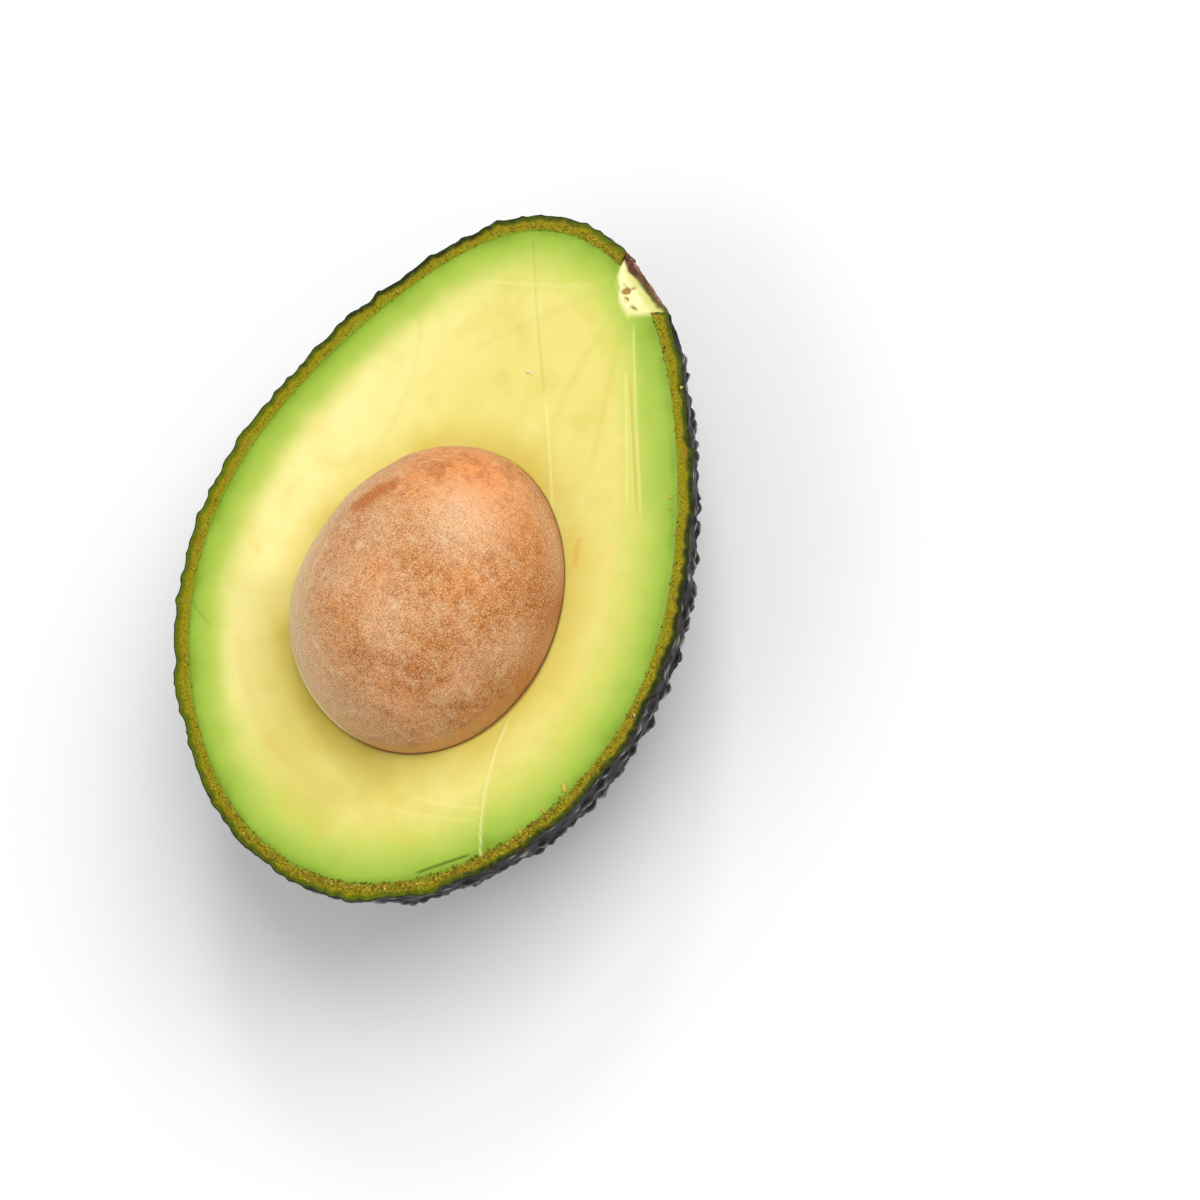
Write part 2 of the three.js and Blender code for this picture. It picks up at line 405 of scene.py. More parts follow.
class Knobs:
    """The skin's knobs, scattered along an even spiral round the fruit."""

    SEED = 31
    SCATTER = 0.034  # how far a knob strays from the spiral, on the unit sphere
    SIZES = (0.45, 1.35)
    FULL_FROM_STEM = 13 * MM  # distance from the stem where the knobs have their full height
    FULL_BELOW_CUT = 7 * MM  # depth below the cut face where they have it

    def __init__(self, fruit, stem, look):
        draw = random.Random(self.SEED)
        self.knobs = []
        for i in range(look.knobs):
            z = 1 - (2 * i + 1) / look.knobs
            ring = math.sqrt(1 - z * z)
            n = Vector((ring * math.cos(GOLDEN_TURN * i), ring * math.sin(GOLDEN_TURN * i), z))
            n += Vector((draw.uniform(-1, 1), draw.uniform(-1, 1), draw.uniform(-1, 1))) * self.SCATTER
            at = fruit.point(n.normalized())
            size = draw.uniform(*self.SIZES)
            tint = draw.random()
            if at.z > 2 * look.knob_radius:
                continue
            fade = smooth(stem.radius, self.FULL_FROM_STEM, (at - stem.centre).length)
            fade *= 0.35 + 0.65 * smooth(0, self.FULL_BELOW_CUT, -at.z)
            self.knobs.append((at, look.knob_radius * size ** 0.6, look.knob_height * size * fade, tint))
        self.reach = look.knob_radius * 1.3
        self.tree = kdtree.KDTree(len(self.knobs))
        for i, knob in enumerate(self.knobs):
            self.tree.insert(knob[0], i)
        self.tree.balance()

    def at(self, p):
        """Height of the knob at a place on the skin, how near it is to its top, and the knob's tint."""
        best = (0.0, 0.0, 0.0)
        for _, i, away in self.tree.find_range(p, self.reach):
            _, radius, height, tint = self.knobs[i]
            hump = (1 - min(away / radius, 1.0) ** 2) ** 1.4
            best = max(best, (height * hump, hump, tint))
        return best


class Mark:
    """A bent stroke on the cut face, in millimetres of the fruit's frame.

    It has a width and a height, the step by which the face is lower on its right, how much greener the
    flesh is on its left, and how strongly each colour shows.
    """

    def __init__(
        self, start, bend, end, width, height=0.0, step=0.0, green=0.0, pale=0.0, dark=0.0, rust=0.0
    ):
        self.width = width * MM
        self.height = height * MM
        self.step = step * MM
        self.green = green
        self.colours = (pale, dark, rust)
        points = [Vector((x * MM, y * MM, 0)) for x, y in (start, bend, end)]
        steps = 60
        self.points = []
        self.tree = kdtree.KDTree(steps + 1)
        for i in range(steps + 1):
            t = i / steps
            p = points[0] * (1 - t) ** 2 + points[1] * (2 * t * (1 - t)) + points[2] * t ** 2
            self.points.append(p)
            self.tree.insert(p, i)
        self.tree.balance()

    def at(self, p):
        """How strongly the mark shows at a point, its distance and side, and 0 at the mark's ends."""
        near, i, away = self.tree.find(p)
        last = len(self.points) - 1
        ahead = self.points[min(i + 1, last)] - self.points[max(i - 1, 0)]
        away = abs(ahead.normalized().cross(p - near).z) if 0 < i < last else away
        ends = smooth(0, 0.12, min(i, last - i) / last)
        side = 1 if ahead.cross(p - near).z > 0 else -1
        return bump_of(away, self.width) * ends, away, side, ends


MARKS = (
    Mark((20.2, -16.5), (20.0, -29.0), (27.2, -39.6), 0.28, height=0.08, step=0.1, green=0.8, pale=0.6),
    Mark((17.9, -43.9), (21.0, -40.8), (24.4, -37.6), 0.28, height=-0.3, dark=0.8),
    Mark((9.6, 42.6), (15.2, 31.9), (24.8, 15.6), 0.26, height=0.06, green=1.2, pale=0.4, rust=0.1),
    Mark((12.6, 35.4), (17.4, 27.2), (23.9, 15.8), 0.22, height=-0.08, dark=0.3, rust=0.2),
    Mark((11.8, 35.5), (16.6, 27.0), (22.2, 15.6), 0.26, height=0.05, pale=0.3),
    Mark((-10.1, 47.8), (-5.0, 38.5), (3.4, 25.9), 0.28, height=-0.05, dark=0.28),
    Mark((3.0, 26.6), (7.0, 20.5), (12.9, 10.2), 0.35, height=0.04, pale=0.35),
    Mark((17.4, 10.4), (17.9, 8.0), (18.6, 5.6), 0.8, rust=0.32),
    Mark((-31.8, -22.2), (-29.5, -23.4), (-27.0, -24.4), 0.3, height=-0.05, dark=0.3),
    Mark((7.0, 43.5), (5.2, 36.0), (5.8, 22.0), 1.0, dark=0.13),
    Mark((8.4, 41.6), (11.5, 30.0), (14.6, 18.0), 0.9, dark=0.12),
    Mark((4.8, 45.5), (-3.0, 38.0), (-11.5, 27.0), 0.9, dark=0.1),
    Mark((-20.5, 31.0), (-15.0, 22.0), (-16.5, 8.0), 0.8, dark=0.1),
    Mark((-14.0, 38.5), (-6.0, 41.0), (2.4, 44.8), 0.35, height=0.03, pale=0.25),
    Mark((-23.5, -22.0), (-17.0, -34.0), (-4.0, -38.5), 1.4, dark=0.06, rust=0.05),
    Mark((12.0, -34.0), (19.5, -33.0), (22.6, -31.0), 0.4, height=0.03, pale=0.2),
    Mark((10.0, -37.0), (17.5, -35.5), (23.2, -32.8), 0.4, height=0.03, pale=0.15),
)


class Link:
    """A socket of a shader node that carries a colour or a vector."""

    def __init__(self, shader, socket):
        self.shader = shader
        self.socket = socket


class Value(Link):
    """A socket that carries a number. An expression on values adds its Math nodes."""

    def combine(self, operation, first, second, clamp=False):
        made = self.shader.node(
            "ShaderNodeMath", {"operation": operation, "use_clamp": clamp}, {0: first, 1: second}
        )
        return Value(self.shader, made.outputs[0])

    def __add__(self, other):
        return self.combine("ADD", self, other)

    __radd__ = __add__

    def __sub__(self, other):
        return self.combine("SUBTRACT", self, other)

    def __rsub__(self, other):
        return self.combine("SUBTRACT", other, self)

    def __mul__(self, other):
        return self.combine("MULTIPLY", self, other)

    __rmul__ = __mul__

    def __truediv__(self, other):
        return self.combine("DIVIDE", self, other)

    def held(self):
        """The same, kept from 0 to 1."""
        return self.combine("ADD", self, 0.0, clamp=True)

    def rise(self, low, high):
        """From 0 at low to 1 at high, gently."""
        made = self.shader.node(
            "ShaderNodeMapRange",
            {"interpolation_type": "SMOOTHSTEP"},
            {"Value": self, "From Min": low, "From Max": high, "To Min": 0.0, "To Max": 1.0},
        )
        return Value(self.shader, made.outputs["Result"])


class Shader:
    """A material of one piece, with the place on the piece in millimetres of the fruit's frame."""

    def __init__(self, name, fruit):
        self.material = bpy.data.materials.new(name)
        self.material.use_nodes = True
        self.tree = self.material.node_tree
        self.surface = self.tree.nodes["Principled BSDF"]
        here = Link(self, self.node("ShaderNodeTexCoord").outputs["Object"])
        back = fruit.lay.inverted()
        mapping = self.node(
            "ShaderNodeMapping",
            {"vector_type": "POINT"},
            {
                "Vector": here,
                "Scale": (1 / MM,) * 3,
                "Rotation": back.to_euler(),
                "Location": back.translation / MM,
            },
        )
        self.place = Link(self, mapping.outputs[0])
        self.x = Value(self, self.node("ShaderNodeSeparateXYZ", inputs={0: self.place}).outputs[0])

    def node(self, kind, settings=None, inputs=None):
        """Adds a node with its settings, then the values or links of its sockets."""
        made = self.tree.nodes.new(kind)
        for name, value in (settings or {}).items():
            setattr(made, name, value)
        for name, value in (inputs or {}).items():
            self.feed(made.inputs[name], value)
        return made

    def feed(self, socket, value):
        if isinstance(value, Link):
            self.tree.links.new(value.socket, socket)
        else:
            socket.default_value = value

    def set(self, **sockets):
        """Feeds sockets of the surface, which are named with _ for a space."""
        for name, value in sockets.items():
            self.feed(self.surface.inputs[name.replace("_", " ")], value)

    def attribute(self, name):
        return Value(self, self.node("ShaderNodeAttribute", {"attribute_name": name}).outputs["Fac"])

    def noise(self, size, detail=2.0, roughness=0.5, stretch=(1, 1, 1), offset=0.0):
        """Noise from 0 to 1 with waves of about the size in millimetres."""
        where = self.place
        if stretch != (1, 1, 1) or offset:
            where = Link(self, self.node(
                "ShaderNodeMapping", inputs={"Vector": where, "Scale": stretch, "Location": (offset,) * 3}
            ).outputs[0])
        made = self.node(
            "ShaderNodeTexNoise",
            inputs={"Vector": where, "Scale": 1 / size, "Detail": detail, "Roughness": roughness},
        )
        return Value(self, made.outputs["Fac"])

    def cells(self, size, feature="F1"):
        """Distance in a pattern of cells, from their middles or from their edges."""
        inputs = {"Vector": self.place, "Scale": 1 / size}
        made = self.node("ShaderNodeTexVoronoi", {"feature": feature}, inputs)
        return Value(self, made.outputs["Distance"])

    def mix(self, factor, first, second):
        """A colour from first at 0 to second at 1."""
        first, second = (c if isinstance(c, Link) else (*c, 1) for c in (first, second))
        made = self.node("ShaderNodeMix", {"data_type": "RGBA"}, {0: factor, 6: first, 7: second})
        return Link(self, made.outputs[2])

    def ramp(self, value, stops):
        """A colour that passes through stops, which are pairs of a position and a colour."""
        made = self.node("ShaderNodeValToRGB", inputs={0: value})
        elements = made.color_ramp.elements
        for i, (position, shade) in enumerate(stops):
            element = elements[i] if i < len(elements) else elements.new(position)
            element.position = position
            element.color = (*shade, 1)
        return Link(self, made.outputs[0])

    def relief(self, height):
        """A bump of the surface, its height in millimetres."""
        made = self.node("ShaderNodeBump", inputs={"Strength": 1.0, "Distance": MM, "Height": height})
        return Link(self, made.outputs[0])


def skin_material(fruit, look):
    m = Shader("pebbled skin", fruit)
    knob = m.attribute("knob")
    tint = m.attribute("tint")
    pores = m.noise(0.5, detail=3)
    patches = m.noise(9, detail=3)
    ground = m.mix(m.noise(2.2, detail=4).rise(0.35, 0.7), look.hollow, look.ground)
    tops = m.mix(tint.rise(0.3, 0.8) * patches.rise(0.25, 0.6), look.knob, look.green_knob)
    shade = m.mix(knob.rise(0.3, 0.9) * (0.5 + 0.5 * pores), ground, tops)
    scars = (1 - m.cells(17).rise(0.045, 0.07)) * patches.rise(0.45, 0.5)
    shade = m.mix(scars * 0.85, shade, look.scar)
    creases = m.cells(1.15, feature="DISTANCE_TO_EDGE").rise(0.0, 0.12)
    height = 0.035 * creases * (1 - knob) + 0.05 * m.noise(0.9, detail=4) + 0.012 * pores
    m.set(
        Base_Color=shade,
        Roughness=0.46 - 0.2 * knob + 0.2 * (m.noise(1.6, detail=3) - 0.5) + 0.25 * scars,
        Normal=m.relief(height),
        Specular_IOR_Level=0.12,
        Coat_Weight=0.9 * knob.rise(0.45, 0.95),
        Coat_Roughness=0.1,
    )
    return m.material


def cut_edge_material(fruit, look):
    m = Shader("cut edge of the skin", fruit)
    edge = m.attribute("from_edge")
    grainy = m.attribute("grainy")
    shaded = m.attribute("shaded")
    depth = edge + 0.7 * (m.noise(1.0, detail=3) - 0.5)
    grains = m.noise(0.34, detail=3, roughness=0.65)
    fine = m.noise(0.22, detail=2)
    streaks = m.noise(0.9, detail=4, offset=3.0)
    # painted shade on the outer band at set directions round the rim, broken up by random streaks
    green = m.mix((shaded + 1.6 * (streaks - 0.45)).held(), look.cut_green, look.cut_painted_shade)
    ochre = m.mix((1 - grains.rise(0.34, 0.5)) * (0.3 + 0.5 * grainy), look.cut_ochre, look.gap)
    ochre = m.mix(grains.rise(0.52, 0.66) * (0.4 + 0.6 * grainy), ochre, look.grain)
    ochre = m.mix(m.noise(1.3, offset=7.0).rise(0.56, 0.72) * 0.6, ochre, look.stain)
    shade = m.mix(depth.rise(0.45, 1.25), green, ochre)
    shade = m.mix(depth.rise(1.7, 2.4) * 0.8, shade, look.cut_lime)
    beside_stem = m.mix(depth.rise(0.7, 1.5), look.stem_rust, look.stem_ochre)
    shade = m.mix(m.attribute("stemward"), shade, beside_stem)
    shade = m.mix((1 - edge.rise(0.02, 0.3)) * 0.9, shade, look.outline)
    shade = m.mix((1 - fine.rise(0.32, 0.5)) * 0.35, shade, look.pore)
    height = 0.12 * grains * depth.rise(0.5, 1.3) + 0.03 * fine + 0.03 * streaks
    m.set(Base_Color=shade, Roughness=0.45 + 0.2 * grains, Normal=m.relief(height), Specular_IOR_Level=0.12)
    return m.material


def flesh_material(fruit, look):
    m = Shader("flesh", fruit)
    depth = m.attribute("from_skin") + 2.2 * (m.noise(5.5, detail=2) - 0.5)
    near_stone = m.attribute("from_stone")
    stops = (
        (0.0, look.lime),
        (0.11, look.green),
        (0.33, look.pale_green),
        (0.54, look.cream),
        (0.82, look.butter),
    )
    shade = m.ramp(depth / 12.0, stops)
    shade = m.mix((1 - m.x.rise(-26, -4)) * depth.rise(3, 8) * 0.75, shade, look.pale_side)
    clouds = m.noise(6, detail=4, offset=3.0)
    # painted shade in a ring beside the stone, mixed with the flesh's own golden clouds
    shade = m.mix((1 - near_stone.rise(0.0, 7)) * (0.3 + 0.6 * clouds), shade, look.gold_and_shade)
    shade = m.mix(clouds.rise(0.45, 0.8) * depth.rise(3, 8) * 0.4, shade, look.gold_and_shade)
    pale_clouds = m.noise(5, detail=3, offset=8.0).rise(0.45, 0.8)
    shade = m.mix(pale_clouds * depth.rise(4, 9) * 0.2, shade, look.scar)
    fibres = m.noise(0.8, detail=3, stretch=(1.0, 0.5, 1.0))
    # painted shadow of the stone, on the flesh below and left of it
    shade = m.mix(m.attribute("shade") * 0.35, shade, look.painted_stone_shadow)
    shade = m.mix(m.attribute("near_stem"), shade, look.fringe)
    shade = m.mix(m.attribute("dark"), shade, m.mix(depth.rise(1, 6), look.green_vein, look.vein))
    shade = m.mix(m.attribute("rust"), shade, look.rust)
    shade = m.mix(m.attribute("pale"), shade, look.scar)
    # painted contact shade along the stone, stronger towards the right
    shade = m.mix((1 - near_stone.rise(0.0, 0.3)) * 0.7 * m.x.rise(-8, 14), shade, look.painted_contact_shade)
    height = 0.03 * m.noise(1.6, detail=3) + 0.012 * m.noise(0.35, detail=2) + 0.01 * fibres
    m.set(
        Base_Color=shade,
        Roughness=0.42 + 0.16 * (m.noise(2.5, detail=2) - 0.5),
        Normal=m.relief(height),
        Specular_IOR_Level=0.25,
        Subsurface_Weight=0.3,
        Subsurface_Radius=(1.0, 0.75, 0.25),
        Subsurface_Scale=2.2 * MM,
    )
    return m.material


def stone_material(fruit, look):
    m = Shader("downy stone", fruit)
    downy = m.attribute("downy")
    specks = m.noise(0.24, detail=3, roughness=0.75)
    blotches = m.noise(5.5, detail=5, roughness=0.65)
    rosy = m.attribute("rosy")
    # painted light: the upper side, where the light falls, warmer and brighter, with some random warm
    # patches
    shade = m.mix(rosy, look.down, look.amber_and_light)
    shade = m.mix(blotches.rise(0.5, 0.68) * 0.55, shade, look.blotch)
    shade = m.mix(m.attribute("blotch") * 0.5, shade, look.spot)
    mottle = m.noise(1.2, detail=4, offset=2.0).rise(0.48, 0.64) * (0.6 - 0.3 * rosy)
    shade = m.mix(mottle, shade, look.blotch)
    shade = m.mix(m.noise(2.0, detail=4, offset=9.0).rise(0.46, 0.8) * 0.45 * downy, shade, look.bloom_and_sheen)
    shade = m.mix(m.attribute("ruddy") * 0.85, shade, look.ruddy)
    # random real dust, with painted sheen on the lower-left limb and a painted highlight on the upper middle
    shade = m.mix(m.attribute("dusty") * 0.9, shade, look.bloom_and_sheen)
    shade = m.mix(m.attribute("patch") * 0.85, shade, look.bare)
    shade = m.mix((1 - specks.rise(0.38, 0.5)) * (0.15 + 0.45 * downy), shade, look.dark_speck)
    shade = m.mix(specks.rise(0.51, 0.62) * (0.15 + 0.45 * downy), shade, look.pale_speck)
    streaks = m.noise(1.6, detail=4, stretch=(1.0, 0.5, 1.0), offset=4.0)
    band = m.mix(streaks.rise(0.4, 0.7) * 0.6, look.band, look.amber_and_light)
    shade = m.mix(0.8 * m.attribute("band"), shade, band)
    # painted contact shade at the stone's foot, turning at its lower left into a painted highlight
    foot = m.mix(m.attribute("lip").rise(0.0, 0.5), look.foot, look.lip)
    shade = m.mix(m.attribute("foot") * 0.8, shade, foot)
    height = 0.06 * specks * downy + 0.05 * m.noise(0.9, detail=3) + 0.02 * streaks
    m.set(
        Base_Color=shade,
        Roughness=0.62 + 0.25 * downy,
        Normal=m.relief(height),
        Specular_IOR_Level=0.12,
        Sheen_Weight=0.15,
        Sheen_Roughness=0.4,
        Sheen_Tint=(1.0, 0.9, 0.8, 1.0),
    )
    return m.material


def stem_material(fruit, look):
    m = Shader("stem button", fruit)
    cut = m.attribute("cut")
    lines = m.noise(0.5, detail=3)
    wood = m.mix(m.noise(1.4, detail=3).rise(0.4, 0.75) * 0.5, look.wood, look.yellow_wood)
    wood = m.mix(m.attribute("corner"), wood, look.green_corner)
    wood = m.mix(m.attribute("greener") * 0.7, wood, look.green_wood)
    wood = m.mix(m.attribute("pit").rise(0.1, 0.7) * 0.85, wood, look.pith)
    crust = m.mix(m.noise(0.9, detail=3).rise(0.4, 0.62), look.crust, look.red_crust)
    crust = m.mix(m.attribute("side"), crust, look.green_crust)
    wood = m.mix(m.attribute("crust"), wood, crust)
    cork = m.mix(lines.rise(0.4, 0.65), look.crust, look.cork)
    height = 0.1 * lines * (1 - 0.7 * cut) + 0.05 * m.noise(0.25, detail=2)
    m.set(Base_Color=m.mix(cut, cork, wood), Roughness=0.6, Normal=m.relief(height), Specular_IOR_Level=0.25)
    return m.material


CRUMB_TONES = (  # from the darkest to the palest
    (0.0, srgb(76, 68, 8)),
    (0.3, srgb(124, 106, 16)),
    (0.6, srgb(160, 138, 28)),
    (0.85, srgb(204, 184, 66)),
    (1.0, srgb(244, 236, 180)),
)


def crumb_material(fruit):
    m = Shader("grains and crumbs", fruit)
    m.set(
        Base_Color=m.ramp(m.attribute("tone"), CRUMB_TONES),
        Roughness=0.5 + 0.1 * m.noise(0.3),
        Normal=m.relief(0.03 * m.noise(0.15)),
        Specular_IOR_Level=0.25,
    )
    return m.material


def floor_material(look):
    material = bpy.data.materials.new("pale floor")
    material.use_nodes = True
    surface = material.node_tree.nodes["Principled BSDF"]
    surface.inputs["Base Color"].default_value = (*look.floor, 1)
    surface.inputs["Roughness"].default_value = 0.85
    surface.inputs["Specular IOR Level"].default_value = 0.2
    return material


def float_layers(bm, names):
    """Layers of the vertices that hold one number each."""
    return {name: bm.verts.layers.float.new(name) for name in names}


def extrude_ring(bm, edges, place):
    """Extrudes an open edge, places its new vertices, and gives the new open edge and the new faces."""
    made = bmesh.ops.extrude_edge_only(bm, edges=edges)["geom"]
    for vert in made:
        if isinstance(vert, bmesh.types.BMVert):
            vert.co = place(vert)
    faces = [face for face in made if isinstance(face, bmesh.types.BMFace)]
    return [edge for edge in made if isinstance(edge, bmesh.types.BMEdge) and edge.is_boundary], faces


def new_object(bm, name, materials):
    mesh = bpy.data.meshes.new(name)
    bm.to_mesh(mesh)
    bm.free()
    for material in materials:
        mesh.materials.append(material)
    made = bpy.data.objects.new(name, mesh)
    bpy.context.scene.collection.objects.link(made)
    return made


def finish_piece(bm, name, fruit, materials, slot, *nodes):
    """Lays a piece down as the half lies, and gives it its materials and its place in the frame."""
    bmesh.ops.recalc_face_normals(bm, faces=bm.faces)
    bmesh.ops.transform(bm, matrix=fruit.lay, verts=bm.verts)
    for face in bm.faces:
        face.smooth = True
    piece = new_object(bm, name, materials)
    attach(piece, "root")
    if nodes:
        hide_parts(*nodes)


def around_rim(angle, slant=0.0):
    """The unit direction at an angle round the rim, and at a slant below the cut face."""
    return Vector((math.cos(angle) * math.cos(slant), math.sin(angle) * math.cos(slant), -math.sin(slant)))


def towards(angle, degrees, spread):
    """From 1 at a direction round the rim to 0 at a spread of degrees to both sides of it."""
    away = abs((math.degrees(angle) - degrees + 180) % 360 - 180)
    return 1 - smooth(0, spread, away)


def graininess(angle):
    """How rough the cut edge is: most at the lower right and below, least at the left."""
    return max(0.25, towards(angle, -60, 110), 0.6 * towards(angle, 80, 60))


class AVOCADO_OT_skin(bpy.types.Operator):
    """Model the pebbled skin with its cut edge"""

    bl_idname = "avocado.skin"
    bl_label = "Skin"

    ROWS = 186
    RIM_RINGS = 11
    WALL_RINGS = 12
    LAYERS = ("knob", "tint", "from_edge", "grainy", "shaded", "stemward")

    def execute(self, context):
        settings = context.scene.avocado
        look = settings.skin
        fruit = Fruit(settings.shape)
        stem = Stem(settings.stem)
        knobs = Knobs(fruit, stem, look)
        bm = bmesh.new()
        unit = bm.verts.layers.float_vector.new("unit")
        layers = float_layers(bm, self.LAYERS)
        bmesh.ops.create_cone(
            bm, segments=4, radius1=0, radius2=1, depth=1, matrix=Matrix.Translation((0, 0, -0.5))
        )
        bmesh.ops.remove_doubles(bm, verts=bm.verts, dist=1e-4)
        bmesh.ops.subdivide_edges(bm, edges=bm.edges, cuts=self.ROWS - 1, use_grid_fill=True)
        upwards = fruit.lay.to_3x3().inverted() @ Vector((0, 0, 1))
        for vert in bm.verts:
            n = vert.co.normalized()
            vert[unit] = n
            p = fruit.point(n)
            height, top, tint = knobs.at(p)
            vert[layers["knob"]] = top
            vert[layers["tint"]] = tint
            p += fruit.normal(p) * (height + self.ground(p, stem, look))
            across, along, _ = stem.local(p)
            p -= stem.axis * (max(along + 0.9 * MM, 0) * smooth(0, 0.7 * MM, stem.radius - across))
            sunk = (fruit.lay @ p).z
            if sunk < 0:
                p -= upwards * sunk
            vert.co = p
        rim = [edge for edge in bm.edges if edge.is_boundary]
        for edge in rim:
            edge.smooth = False
        self.cut_edge(bm, rim, fruit, stem, look, unit, layers)
        bmesh.ops.remove_doubles(bm, verts=bm.verts, dist=0.01 * MM)
        materials = (skin_material(fruit, look), cut_edge_material(fruit, look))
        finish_piece(bm, "peel", fruit, materials, "skin", "skin")
        return {"FINISHED"}

    def ground(self, p, stem, look):
        """Height of the skin between the knobs: swells, ridges, fine creases and pleats towards the stem."""
        across, _, turn = stem.local(p)
        pleats = math.sin(turn * 23 + 2.5 * grain(p, 5 * MM)) * (1 - smooth(6 * MM, 15 * MM, across))
        ridges = (1 - min(2.6 * abs(grain(p, 3.4 * MM)), 1.0)) ** 2
        return (
            look.swell * (grain(p, 5.5 * MM) - 0.2)
            + look.ridge * (ridges - 0.5)
            + 0.08 * MM * grain(p, 1.2 * MM)
            + 0.2 * MM * pleats
        )

    def cut_edge(self, bm, ring, fruit, stem, look, unit, layers):
        """Closes the shell: across the cut edge, and down the inside."""
        outer = {tuple(v[unit]): v.co.copy() for e in ring for v in e.verts}

        def across_rim(share):
            def place(vert):
                start = outer[tuple(vert[unit])]
                end = fruit.inside(vert[unit], look.thickness)
                p = start.lerp(end, share)
                depth = (p - start).length
                angle = math.atan2(vert[unit].y, vert[unit].x)
                vert[layers["from_edge"]] = depth / MM
                vert[layers["grainy"]] = graininess(angle)
                # painted shade of the outer band, strongest at four set directions round the rim
                vert[layers["shaded"]] = max(
                    towards(angle, 10, 75),
                    0.8 * towards(angle, -38, 40),
                    0.95 * towards(angle, 132, 55),
                    0.4 * towards(angle, -100, 45),
                )
                by_stem = 1 - smooth(0, 2.2 * MM, stem.beside(p))
                vert[layers["stemward"]] = 0.8 * smooth(1.33, 1.43, angle) * by_stem
                coarse = 0.5 + grain(p, 0.8 * MM) + 0.7 * grain(p, 0.45 * MM)
                grains = smooth(0.8 * MM, 1.3 * MM, depth) * coarse
                p.z = 0.08 * MM * grains * graininess(angle) - 0.06 * MM * smooth(0.8, 1.0, share)
                p.z -= stem.under(p)
                return p
            return place

        def down_wall(slant):
            def place(vert):
                n = vert[unit]
                down = n * math.cos(slant) - Vector((0, 0, math.sin(slant)))
                return fruit.inside(down, look.thickness)
            return place

        for i in range(1, self.RIM_RINGS + 1):
            ring, faces = extrude_ring(bm, ring, across_rim(i / self.RIM_RINGS))
            for face in faces:
                face.material_index = 1
        for i in range(1, self.WALL_RINGS + 1):
            ring, _ = extrude_ring(bm, ring, down_wall(math.pi / 2 * i / self.WALL_RINGS))


